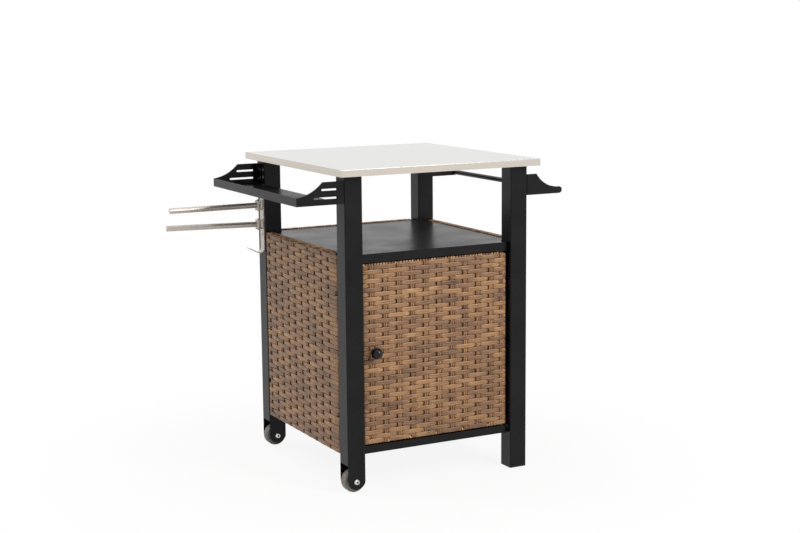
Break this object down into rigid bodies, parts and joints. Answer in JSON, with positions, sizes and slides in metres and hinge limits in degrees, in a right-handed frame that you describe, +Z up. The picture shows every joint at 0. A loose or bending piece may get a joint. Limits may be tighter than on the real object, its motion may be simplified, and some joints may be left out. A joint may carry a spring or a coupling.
{
  "type": "outdoor bar cart",
  "caption": "Outdoor bar cart: folded steel top, open shelf, woven cabinet with a hinged door, side rack, swivel hanger, handle rail, and wheels under its left legs.",
  "frame": {"origin": "centre of the whole cart's box on the floor", "axes": "+X to the right along the front, +Y to the rear, +Z up"},
  "size_m": [0.924, 0.628, 0.845],
  "materials": {
    "stainless_top": "satin",
    "stainless": "brushed",
    "black_powder_coat": "fine texture, satin",
    "rattan_weave": "woven, matte",
    "grey_rubber": "matte",
    "grey_plastic": "matte",
    "black_plastic": "matte",
    "black_knob": "gloss",
    "zinc_steel": "zinc plated"
  },
  "bodies": {
    "cart": {"axle_front": "zinc_steel", "axle_nuts": "zinc_steel", "axle_rear": "zinc_steel", "catch_magnet": "black_plastic", "catch_screws": "zinc_steel", "door_bush_bottom": "black_plastic", "door_bush_top": "black_plastic", "floor_pan": "black_powder_coat", "foot_cap_front": "black_plastic", "foot_cap_rear": "black_plastic", "handle_bracket_front": "black_powder_coat", "handle_bracket_rear": "black_powder_coat", "handle_rail": "black_powder_coat", "handle_screws": "zinc_steel", "hanger_pins": "stainless", "hanger_screws": "zinc_steel", "hanger_strip": "stainless", "leg_front_left": "black_powder_coat", "leg_front_right": "black_powder_coat", "leg_rear_left": "black_powder_coat", "leg_rear_right": "black_powder_coat", "pan_screws": "zinc_steel", "panel_bolts": "zinc_steel", "panel_left_frame": "black_powder_coat", "panel_left_weave": "rattan_weave", "panel_nuts": "zinc_steel", "panel_rear_frame": "black_powder_coat", "panel_rear_weave": "rattan_weave", "panel_right_frame": "black_powder_coat", "panel_right_weave": "rattan_weave", "panel_spacers": "black_plastic", "rack_bracket_front": "black_powder_coat", "rack_bracket_rear": "black_powder_coat", "rack_screws": "zinc_steel", "rack_tray": "black_powder_coat", "shelf_pan": "black_powder_coat", "top_rail_front": "black_powder_coat", "top_rail_left": "black_powder_coat", "top_rail_rear": "black_powder_coat", "top_rail_right": "black_powder_coat", "top_rail_screws": "zinc_steel", "top_sheet": "stainless_top", "top_stiffener": "black_powder_coat", "wheel_sleeves": "zinc_steel"},
    "door": {"door_frame": "black_powder_coat", "door_weave": "rattan_weave", "door_knob": "black_knob", "knob_screw": "zinc_steel", "door_pin_top": "zinc_steel", "door_pin_bottom": "zinc_steel", "catch_strike": "zinc_steel"},
    "wheel_front": {"wheel_front_tyre": "grey_rubber", "wheel_front_hub": "grey_plastic"},
    "wheel_rear": {"wheel_rear_tyre": "grey_rubber", "wheel_rear_hub": "grey_plastic"},
    "arm_upper": {"arm_upper": "stainless", "arm_upper_cap": "stainless"},
    "arm_lower": {"arm_lower": "stainless", "arm_lower_cap": "stainless"}
  },
  "joints": [
    {"name": "door_hinge", "type": "hinge", "parent": "cart", "child": "door", "pos_m": [0.285, -0.256, 0.3585], "axis": [0, 0, 1], "range_deg": [0, 95]},
    {"name": "wheel_front_spin", "type": "hinge", "parent": "cart", "child": "wheel_front", "pos_m": [-0.164, -0.258, 0.03], "axis": [0, 1, 0], "continuous": true},
    {"name": "wheel_rear_spin", "type": "hinge", "parent": "cart", "child": "wheel_rear", "pos_m": [-0.164, 0.258, 0.03], "axis": [0, 1, 0], "continuous": true},
    {"name": "arm_upper_swivel", "type": "hinge", "parent": "cart", "child": "arm_upper", "pos_m": [-0.202, 0.252, 0.6995], "axis": [0, 0, 1], "range_deg": [-90, 90]},
    {"name": "arm_lower_swivel", "type": "hinge", "parent": "cart", "child": "arm_lower", "pos_m": [-0.202, 0.252, 0.6455], "axis": [0, 0, 1], "range_deg": [-80, 100]}
  ]
}
